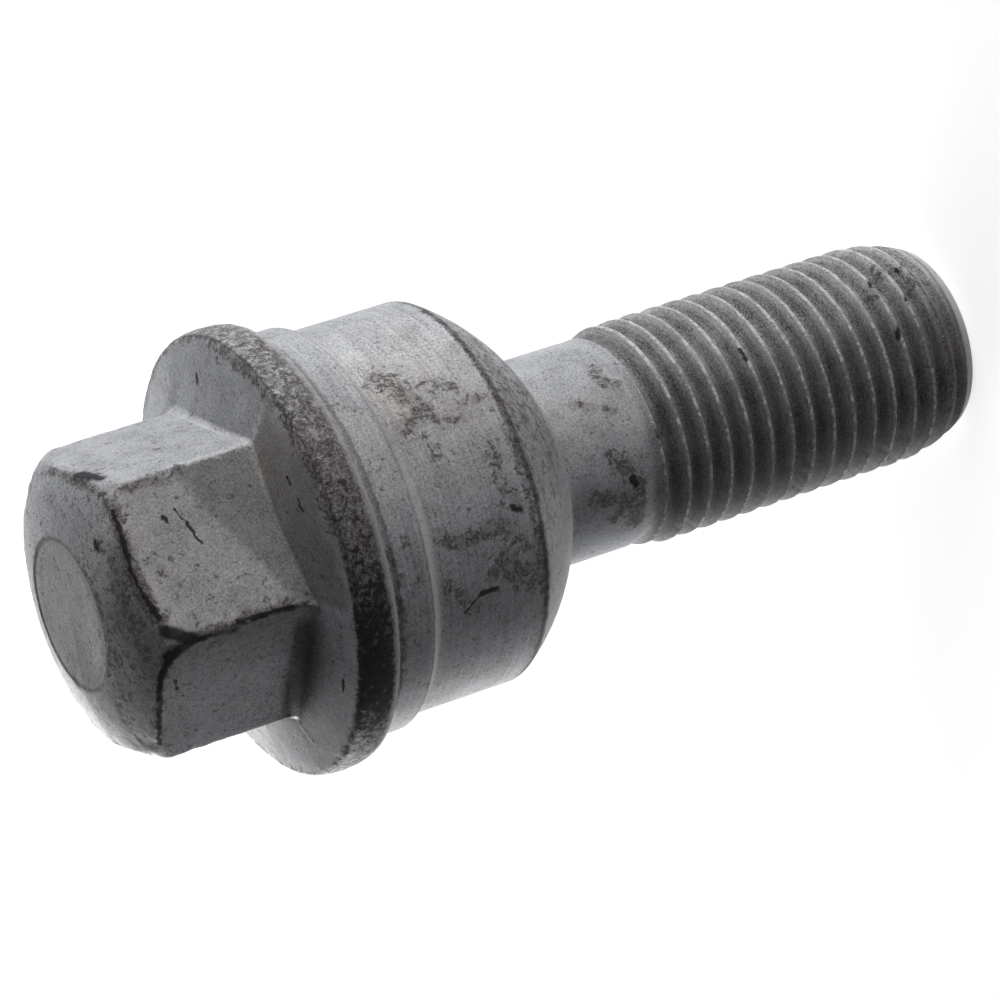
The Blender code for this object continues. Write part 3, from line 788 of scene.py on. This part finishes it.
def knock_about(mesh, places):
    """Push the surface in a little where the forging is uneven and where edges are chipped."""
    normals = np.empty(len(places) * 3)
    mesh.vertex_normals.foreach_get("vector", normals)
    normals = normals.reshape(-1, 3)
    r, z, degrees = bolt_places(places)
    flange_z = FLANGE_TOP_Z / MM
    head = fade(z, flange_z + 0.3, flange_z)
    from_corner = np.abs((degrees % 60.0) - 30.0)
    edge = head * fade(from_corner, 1.5, 6.0) * fade(r, 9.2, 8.9)
    crown = head * fade(z, 57.9, 57.4) * fade(z, 59.0, 59.4) * fade(r, 8.0, 7.6)
    rim = fade(r, 13.2, 12.9) * fade(z, 45.5, 45.2)
    crest = fade(z, 23.0, 24.0) * fade(r, 6.85, 6.7)
    chipped = most(edge * (0.6 + 0.9 * hump(degrees, -90.0, 12.0)), crown * 0.8, rim * 0.55)
    skin = most(head, fade(z, 45.6, 45.0)) * FORGED_DEPTH + fade(z, 24.0, 23.5) * TURNED_DEPTH
    moved = places.copy()
    for i, place in enumerate(places):
        depth = skin[i] * (0.5 * uneven(place, 2.6 * MM) + 0.3 * uneven(place, 1.0 * MM) - 0.8)
        if chipped[i] > 0.01:
            depth -= CHIP_DEPTH * chipped[i] * max(uneven(place, 0.75 * MM) + 0.05, 0.0)
        if crest[i] > 0.01:
            depth -= NICK_DEPTH * crest[i] * max(uneven(place, 0.6 * MM) - 0.12, 0.0)
        moved[i] += normals[i] * depth
    mesh.vertices.foreach_set("co", moved.ravel())
    mesh.update()


def feed(tree, node, inputs):
    """Feed a node's sockets with plain values or with other nodes' outputs."""
    for name, value in inputs.items():
        socket = node.inputs[name]
        if isinstance(value, bpy.types.NodeSocket):
            tree.links.new(value, socket)
        else:
            socket.default_value = value


def add_node(tree, kind, inputs=None, **settings):
    """Add a node, set it up and feed it."""
    node = tree.nodes.new("ShaderNode" + kind)
    for name, value in settings.items():
        setattr(node, name, value)
    feed(tree, node, inputs or {})
    return node


def use_group(tree, group, **inputs):
    """Place a node group and feed its named sockets."""
    node = tree.nodes.new("ShaderNodeGroup")
    node.node_tree = group
    feed(tree, node, {name.replace("_", " "): value for name, value in inputs.items()})
    return node.outputs


def work_out(tree, operation, a, b=0.0, clamp=False):
    """A Math node's result."""
    return add_node(tree, "Math", {0: a, 1: b}, operation=operation, use_clamp=clamp).outputs[0]


def less(tree, a, b):
    """One value less another."""
    return work_out(tree, "SUBTRACT", a, b)


def share_of(tree, mask, strength):
    """A mask at part of its strength."""
    return work_out(tree, "MULTIPLY", mask, strength)


def strongest(tree, masks):
    """The greatest of several masks at each place."""
    result = masks[0]
    for mask in masks[1:]:
        result = work_out(tree, "MAXIMUM", result, mask)
    return result


def vectors(tree, operation, *inputs):
    """A Vector Math node's result: a value for a length, a distance or a product, else a vector."""
    node = add_node(tree, "VectorMath", dict(enumerate(inputs)), operation=operation)
    return node.outputs["Value" if operation in ("LENGTH", "DISTANCE", "DOT_PRODUCT") else "Vector"]


def noise_texture(tree, place, scale, **settings):
    """A Noise Texture node's outputs."""
    return add_node(tree, "TexNoise", {"Vector": place, "Scale": scale, **settings}).outputs


def from_to(tree, value, low, high, start=0.0, end=1.0):
    """A value's range made another range, with an even S between the two ends."""
    inputs = {"Value": value, "From Min": low, "From Max": high, "To Min": start, "To Max": end}
    return add_node(tree, "MapRange", inputs, interpolation_type="SMOOTHSTEP").outputs[0]


def soft_line(tree, distance, half_width, inner_share):
    """1 up to a share of the half width from a line, and 0 beyond the half width."""
    return from_to(tree, distance, half_width, share_of(tree, half_width, inner_share))


def zone(tree, name):
    """A mask that the mesh keeps for each vertex."""
    return add_node(tree, "Attribute", attribute_name=name).outputs["Fac"]


def grey(tree, value):
    """A grey colour of a value."""
    return add_node(tree, "CombineColor", {0: value, 1: value, 2: value}).outputs[0]


def tint(tree, under, over, share, blend="MIX"):
    """One colour laid over another by a share."""
    inputs = {"Factor": share, "A": under, "B": over}
    return add_node(tree, "Mix", inputs, data_type="RGBA", blend_type=blend).outputs["Result"]


def new_group(name, vector_inputs, value_inputs, outputs):
    """An empty node group with named sockets: its tree, its inputs and its output node."""
    tree = bpy.data.node_groups.new(name, "ShaderNodeTree")
    for names, side, kind in ((vector_inputs, "INPUT", "Vector"), (value_inputs, "INPUT", "Float"),
                              (outputs, "OUTPUT", "Float")):
        for socket in names:
            tree.interface.new_socket(name=socket, in_out=side, socket_type="NodeSocket" + kind)
    return tree, tree.nodes.new("NodeGroupInput").outputs, tree.nodes.new("NodeGroupOutput").inputs


def round_parts(tree, place):
    """A place's distance from the axis, its angle and its height."""
    parts = add_node(tree, "SeparateXYZ", {0: place}).outputs
    flat = add_node(tree, "CombineXYZ", {0: parts[0], 1: parts[1]}).outputs[0]
    return vectors(tree, "LENGTH", flat), work_out(tree, "ARCTAN2", parts[1], parts[0]), parts[2]


def ragged_patch_group():
    """A mask that covers more of a surface the higher its amount is, with a ragged outline."""
    tree, given, out = new_group("ragged_patch", ("Place",), ("Amount", "Patch Size", "Softness"),
                                 ("Mask",))
    scale = work_out(tree, "DIVIDE", 1.0, given["Patch Size"])
    speckle = noise_texture(tree, given["Place"], scale, Detail=5.0, Roughness=0.68, Distortion=0.5)["Fac"]
    spread = add_node(tree, "MapRange", {"Value": speckle, "From Min": 0.28, "From Max": 0.72}).outputs[0]
    edge = less(tree, 1.0, given["Amount"])
    low = less(tree, edge, given["Softness"])
    high = work_out(tree, "ADD", edge, given["Softness"])
    tree.links.new(from_to(tree, spread, low, high), out["Mask"])
    return tree


def surface_mark_group():
    """A mask round the stretch between two places, for a scratch, a smudge or a spot."""
    tree, given, out = new_group("surface_mark", ("Place", "Start", "End"), ("Half Width",), ("Mask",))
    from_start = vectors(tree, "SUBTRACT", given["Place"], given["Start"])
    along = vectors(tree, "SUBTRACT", given["End"], given["Start"])
    share = work_out(tree, "DIVIDE", vectors(tree, "DOT_PRODUCT", from_start, along),
                     vectors(tree, "DOT_PRODUCT", along, along), clamp=True)
    nearest = add_node(tree, "VectorMath", {0: along, "Scale": share}, operation="SCALE").outputs[0]
    away = vectors(tree, "DISTANCE", from_start, nearest)
    tree.links.new(soft_line(tree, away, given["Half Width"], 0.35), out["Mask"])
    return tree


def ring_line_group():
    """A mask along a circle round the axis, at a radius and a height."""
    tree, given, out = new_group("ring_line", ("Place",), ("Ring Radius", "Ring Height", "Half Width"),
                                 ("Mask",))
    radius, _, height = round_parts(tree, given["Place"])
    across = less(tree, radius, given["Ring Radius"])
    above = less(tree, height, given["Ring Height"])
    away = vectors(tree, "LENGTH", add_node(tree, "CombineXYZ", {0: across, 1: above}).outputs[0])
    tree.links.new(soft_line(tree, away, given["Half Width"], 0.3), out["Mask"])
    return tree


def thread_line_group():
    """A mask along the thread's helix, at a share of the pitch above the middle of its root."""
    tree, given, out = new_group("thread_line", ("Place",), ("Pitch Share", "Half Width"), ("Mask",))
    _, angle, height = round_parts(tree, given["Place"])
    turns = work_out(tree, "DIVIDE", less(tree, angle, THREAD_START_ANGLE), 2 * math.pi)
    pitches = less(tree, work_out(tree, "DIVIDE", height, THREAD_PITCH), turns)
    offset = less(tree, pitches, less(tree, given["Pitch Share"], 0.5))
    beside = work_out(tree, "ABSOLUTE", less(tree, work_out(tree, "FRACT", offset), 0.5))
    away = share_of(tree, beside, THREAD_PITCH)
    tree.links.new(soft_line(tree, away, given["Half Width"], 0.3), out["Mask"])
    return tree


def fine_grain_group():
    """The coating's flake: a fine speckle of light and dark, with broader clouds, and its height."""
    tree, given, out = new_group("fine_grain", ("Place",), ("Flake Size",), ("Speckle", "Clouds", "Height"))
    fine = work_out(tree, "DIVIDE", 1.0, given["Flake Size"])
    broad = work_out(tree, "DIVIDE", 0.06, given["Flake Size"])
    speckle = noise_texture(tree, given["Place"], fine, Detail=2.0, Roughness=0.7)["Fac"]
    clouds = noise_texture(tree, given["Place"], broad, Detail=4.0, Roughness=0.55)["Fac"]
    tree.links.new(speckle, out["Speckle"])
    tree.links.new(clouds, out["Clouds"])
    tree.links.new(share_of(tree, clouds, 0.6), out["Height"])
    return tree


def round_streaks_group():
    """Fine lines that run round the axis, as turning and thread rolling leave them."""
    tree, given, out = new_group("round_streaks", ("Place",), ("Line Width", "Line Length"), ("Lines",))
    radius, angle, height = round_parts(tree, given["Place"])
    around = work_out(tree, "DIVIDE", share_of(tree, angle, 0.01), given["Line Length"])
    across = work_out(tree, "DIVIDE", radius, given["Line Width"])
    up = work_out(tree, "DIVIDE", height, given["Line Width"])
    stretched = add_node(tree, "CombineXYZ", {0: around, 1: across, 2: up}).outputs[0]
    tree.links.new(noise_texture(tree, stretched, 1.0, Detail=2.0)["Fac"], out["Lines"])
    return tree


def patches(tree, group, place, amount, size, softness):
    """The mask of a ragged patch group."""
    return use_group(tree, group, Place=place, Amount=amount, Patch_Size=size, Softness=softness)["Mask"]


def thread_band(tree, group, place, pitch_share, half_width):
    """The mask of a line along the thread."""
    return use_group(tree, group, Place=place, Pitch_Share=pitch_share, Half_Width=half_width)["Mask"]


def plain_coating(tree, place, patch):
    """The coating's colour, with its darker thread, painted light on the thread's top and other places, and
    a painted warm tint of light on the front.
    """
    colour = tint(tree, COATING_COLOUR, THREAD_COLOUR, zone(tree, "thread"))
    # Painted light: the thread paler on its top side
    colour = tint(tree, colour, THREAD_PAINTED_LIGHT_COLOUR, zone(tree, "thread_painted_light"))
    # Painted light: paler where light falls most
    colour = tint(tree, colour, WEAR_AND_HIGHLIGHT_COLOUR, zone(tree, "painted_light"))
    # A painted warm tint of light, in ragged patches
    painted_warm_light = patches(tree, patch, place, zone(tree, "painted_warm_light"), 2.5 * MM, 0.5)
    return tint(tree, colour, WARM_LIGHT_TINT_COLOUR, share_of(tree, painted_warm_light, 0.8), "MULTIPLY")


def tooling_shade(tree, place):
    """The lines that turning and thread rolling left, as a shade about 0."""
    streaks = round_streaks_group()
    shades = []
    for name, width, length, strength in TOOLING_LINES:
        lines = use_group(tree, streaks, Place=place, Line_Width=width, Line_Length=length)["Lines"]
        shades.append(share_of(tree, less(tree, lines, 0.5), share_of(tree, zone(tree, name), strength)))
    return work_out(tree, "ADD", *shades)


def coating_shade(tree, place, grain, line_shade, thread_line):
    """Flake, clouds, tooling lines, painted shade in the thread's grooves and the painted shade mask, as a
    shade about 1.
    """
    shade = work_out(tree, "ADD", share_of(tree, less(tree, grain["Speckle"], 0.5), 2.0),
                     share_of(tree, less(tree, grain["Clouds"], 0.5), 0.9))
    shade = work_out(tree, "ADD", work_out(tree, "ADD", shade, 1.0), line_shade)
    # Painted shade in the thread's groove, beside the crest and at the root
    crest_side = thread_band(tree, thread_line, place, 0.72, 0.16 * MM)
    root_side = thread_band(tree, thread_line, place, 0.95, 0.36 * MM)
    painted_groove_shade = strongest(tree, (share_of(tree, crest_side, 0.06), share_of(tree, root_side, 0.45)))
    shade = less(tree, shade, share_of(tree, painted_groove_shade, zone(tree, "thread")))
    # The painted shade darkens the coating
    return share_of(tree, shade, less(tree, 1.0, zone(tree, "painted_shade")))


def wear_and_crest_highlight(tree, place, patch, thread_line):
    """Worn metal in speckled patches, and painted highlight lines along the thread's crests with worn
    flecks beside them.
    """
    bright = patches(tree, patch, place, zone(tree, "wear"), 0.3 * MM, 0.15)
    # Painted highlight along each crest
    crest_line = thread_band(tree, thread_line, place, 0.52, 0.12 * MM)
    crest_gaps = patches(tree, patch, place, zone(tree, "crest"), 0.5 * MM, 0.3)
    crest_flecks = patches(tree, patch, place, share_of(tree, zone(tree, "crest"), 0.74), 0.5 * MM, 0.06)
    crest_band = thread_band(tree, thread_line, place, 0.55, 0.2 * MM)
    return strongest(tree, (share_of(tree, bright, 0.6),
                            share_of(tree, share_of(tree, crest_line, crest_gaps), 0.5),
                            share_of(tree, share_of(tree, crest_band, crest_flecks), 0.9)))


def soot_and_marks(tree, place, patch):
    """Soot, specks, dark rings, one of them a painted shadow behind the flange, and near-black marks, all
    with ragged outlines.
    """
    soot_patches = patches(tree, patch, place, zone(tree, "soot"), 0.36 * MM, 0.2)
    specks = patches(tree, patch, place, zone(tree, "speckled"), 0.28 * MM, 0.06)
    soot = strongest(tree, (share_of(tree, soot_patches, 0.97), share_of(tree, specks, 0.6)))
    warp = noise_texture(tree, place, 1.0 / (0.4 * MM), Detail=4.0)["Color"]
    shift = vectors(tree, "SUBTRACT", warp, (0.5, 0.5, 0.5))
    ragged_place = vectors(tree, "MULTIPLY_ADD", shift, (MARK_STRAY,) * 3, place)
    ring_line = ring_line_group()
    for radius, height, half_width, strength in SOOT_RINGS:
        ring = use_group(tree, ring_line, Place=ragged_place, Ring_Radius=radius * MM,
                         Ring_Height=height * MM, Half_Width=half_width * MM)["Mask"]
        soot = work_out(tree, "MAXIMUM", soot, share_of(tree, ring, strength))
    mark = surface_mark_group()
    for start, end, half_width in SOOT_MARKS:
        drawn = use_group(tree, mark, Place=ragged_place, Start=on_bolt(*start), End=on_bolt(*end),
                          Half_Width=half_width * MM)["Mask"]
        soot = work_out(tree, "MAXIMUM", soot, drawn)
    return soot


def coating_material():
    """Dull grey zinc-flake coating with its thread, oil film, brown stains, soot and worn edges."""
    material = bpy.data.materials.new("zinc_flake_coating")
    material.use_nodes = True
    tree = material.node_tree
    shader = tree.nodes["Principled BSDF"]
    place = add_node(tree, "TexCoord").outputs["Object"]
    patch = ragged_patch_group()
    thread_line = thread_line_group()
    grain = use_group(tree, fine_grain_group(), Place=place, Flake_Size=FLAKE_SIZE)

    colour = plain_coating(tree, place, patch)
    line_shade = tooling_shade(tree, place)
    shade = coating_shade(tree, place, grain, line_shade, thread_line)
    colour = tint(tree, colour, grey(tree, shade), 1.0, "MULTIPLY")
    # Wear, with painted highlights along the crests
    wear = wear_and_crest_highlight(tree, place, patch, thread_line)
    colour = tint(tree, colour, WEAR_AND_HIGHLIGHT_COLOUR, wear)

    # Brown stains, broken up by a fine grain, with a soft halo, and painted highlights laid over them
    stain = patches(tree, patch, place, zone(tree, "grime"), 0.5 * MM, 0.18)
    crumbs = patches(tree, patch, place, 0.6, 0.17 * MM, 0.3)
    haze = patches(tree, patch, place, zone(tree, "grime"), 1.2 * MM, 0.32)
    crumbled = from_to(tree, crumbs, 0.0, 1.0, 0.45, 1.0)
    stained = strongest(tree, (share_of(tree, share_of(tree, stain, 0.9), crumbled),
                               share_of(tree, haze, 0.45)))
    colour = tint(tree, colour, GRIME_COLOUR, stained)
    veins = share_of(tree, stain, crumbs)
    colour = tint(tree, colour, SOOT_COLOUR, share_of(tree, veins, 0.5))
    # Painted highlights on the ridge, the hollow, the back edge, the seat and the tip
    colour = tint(tree, colour, WEAR_AND_HIGHLIGHT_COLOUR, zone(tree, "painted_highlight"))
    soot = soot_and_marks(tree, place, patch)
    colour = tint(tree, colour, SOOT_COLOUR, share_of(tree, soot, 0.93))
    tree.links.new(colour, shader.inputs["Base Color"])

    # Dirt is rougher and wear is smoother than the coating; dirt and the painted shade hardly shine
    dirt = work_out(tree, "MAXIMUM", stained, soot)
    roughness = work_out(tree, "ADD", share_of(tree, dirt, 0.2), COATING_ROUGHNESS)
    roughness = work_out(tree, "ADD", roughness, share_of(tree, zone(tree, "thread"), 0.2))
    tree.links.new(less(tree, roughness, share_of(tree, wear, 0.12)), shader.inputs["Roughness"])
    shade_and_soot = work_out(tree, "MAXIMUM", zone(tree, "painted_shade"), share_of(tree, soot, 0.8))
    shine = share_of(tree, less(tree, 1.0, shade_and_soot), COATING_SHINE)
    tree.links.new(shine, shader.inputs["Specular IOR Level"])

    height = work_out(tree, "ADD", grain["Height"], line_shade)
    height = less(tree, height, share_of(tree, stain, 0.5))
    bump = add_node(tree, "Bump", {"Strength": 0.8, "Distance": RELIEF_DEPTH, "Height": height})
    tree.links.new(bump.outputs["Normal"], shader.inputs["Normal"])
    return material


def build_bolt():
    """The dressed bolt, which stands for the frame's one node."""
    mesh = bolt_mesh()
    places = np.empty(len(mesh.vertices) * 3)
    mesh.vertices.foreach_get("co", places)
    places = places.reshape(-1, 3)
    for name, values in zone_masks(places).items():
        write_attribute(mesh, name, values)
    knock_about(mesh, places)
    bolt = bpy.data.objects.new("wheel_bolt_forged", mesh)
    bpy.context.scene.collection.objects.link(bolt)
    mesh.materials.append(coating_material())
    weighted = bolt.modifiers.new("Even shading", "WEIGHTED_NORMAL")
    weighted.weight = 60
    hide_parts("wheel_bolt")
    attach(bolt, "root")


def add_camera():
    """The photograph's camera."""
    data = bpy.data.cameras.new("camera")
    data.lens = CAMERA_LENS
    data.sensor_width = 36.0
    data.clip_start = 0.01
    camera = bpy.data.objects.new("camera", data)
    upright = (CAMERA_AIM - CAMERA_PLACE).to_track_quat("-Z", "Y").to_matrix()
    turned = upright @ Matrix.Rotation(-CAMERA_ROLL, 3, "Z")
    camera.matrix_world = Matrix.Translation(CAMERA_PLACE) @ turned.to_4x4()
    bpy.context.scene.collection.objects.link(camera)
    bpy.context.scene.camera = camera


def add_lamp(name, angle, elevation, distance, size, power):
    """A soft box that shines at the bolt's middle from an angle about its axis."""
    data = bpy.data.lights.new(name, "AREA")
    data.shape = "RECTANGLE"
    data.size, data.size_y = size
    data.energy = power
    lamp = bpy.data.objects.new(name, data)
    direction = Vector((math.cos(angle) * math.cos(elevation), math.sin(angle) * math.cos(elevation),
                        math.sin(elevation)))
    lamp.location = LAMP_AIM + direction * distance
    lamp.rotation_euler = (-direction).to_track_quat("-Z", "Y").to_euler()
    lamp.visible_camera = False
    bpy.context.scene.collection.objects.link(lamp)


def seen_plainly(tree, unseen, seen):
    """One value for rays from the camera, a reflection or glass, and another for all other rays."""
    path = add_node(tree, "LightPath").outputs
    either = work_out(tree, "MAXIMUM", path["Is Camera Ray"], path["Is Glossy Ray"])
    either = work_out(tree, "MAXIMUM", either, path["Is Transmission Ray"])
    return add_node(tree, "MapRange", {"Value": either, "To Min": unseen, "To Max": seen}).outputs[0]


def add_stage():
    """A white floor, which keeps the bolt's shadow, and a world of the same white."""
    shape = bmesh.new()
    bmesh.ops.create_circle(shape, cap_ends=True, segments=64, radius=2.0)
    bmesh.ops.translate(shape, vec=(0.0, 0.0, -0.02 * MM), verts=shape.verts)
    mesh = bpy.data.meshes.new("floor")
    shape.to_mesh(mesh)
    shape.free()
    floor = bpy.data.objects.new("floor", mesh)
    bpy.context.scene.collection.objects.link(floor)
    material = bpy.data.materials.new("white_floor")
    material.use_nodes = True
    tree = material.node_tree
    shader = tree.nodes["Principled BSDF"]
    shader.inputs["Base Color"].default_value = (0.8, 0.8, 0.8, 1.0)
    shader.inputs["Roughness"].default_value = 0.9
    shader.inputs["Emission Color"].default_value = (1.0, 1.0, 1.0, 1.0)
    tree.links.new(seen_plainly(tree, 0.0, FLOOR_GLOW), shader.inputs["Emission Strength"])
    mesh.materials.append(material)

    world = bpy.data.worlds.new("white_tent")
    bpy.context.scene.world = world
    world.use_nodes = True
    background = world.node_tree.nodes["Background"]
    background.inputs["Color"].default_value = (1.0, 1.0, 1.0, 1.0)
    world.node_tree.links.new(seen_plainly(world.node_tree, TENT_LIGHT, 1.0), background.inputs["Strength"])


def main():
    build_bolt()
    add_camera()
    add_stage()
    for name, degrees, elevation, distance, size, power in LAMPS:
        add_lamp(name, math.radians(degrees), math.radians(elevation), distance, size, power)
    bpy.context.scene.view_settings.view_transform = "Standard"


main()
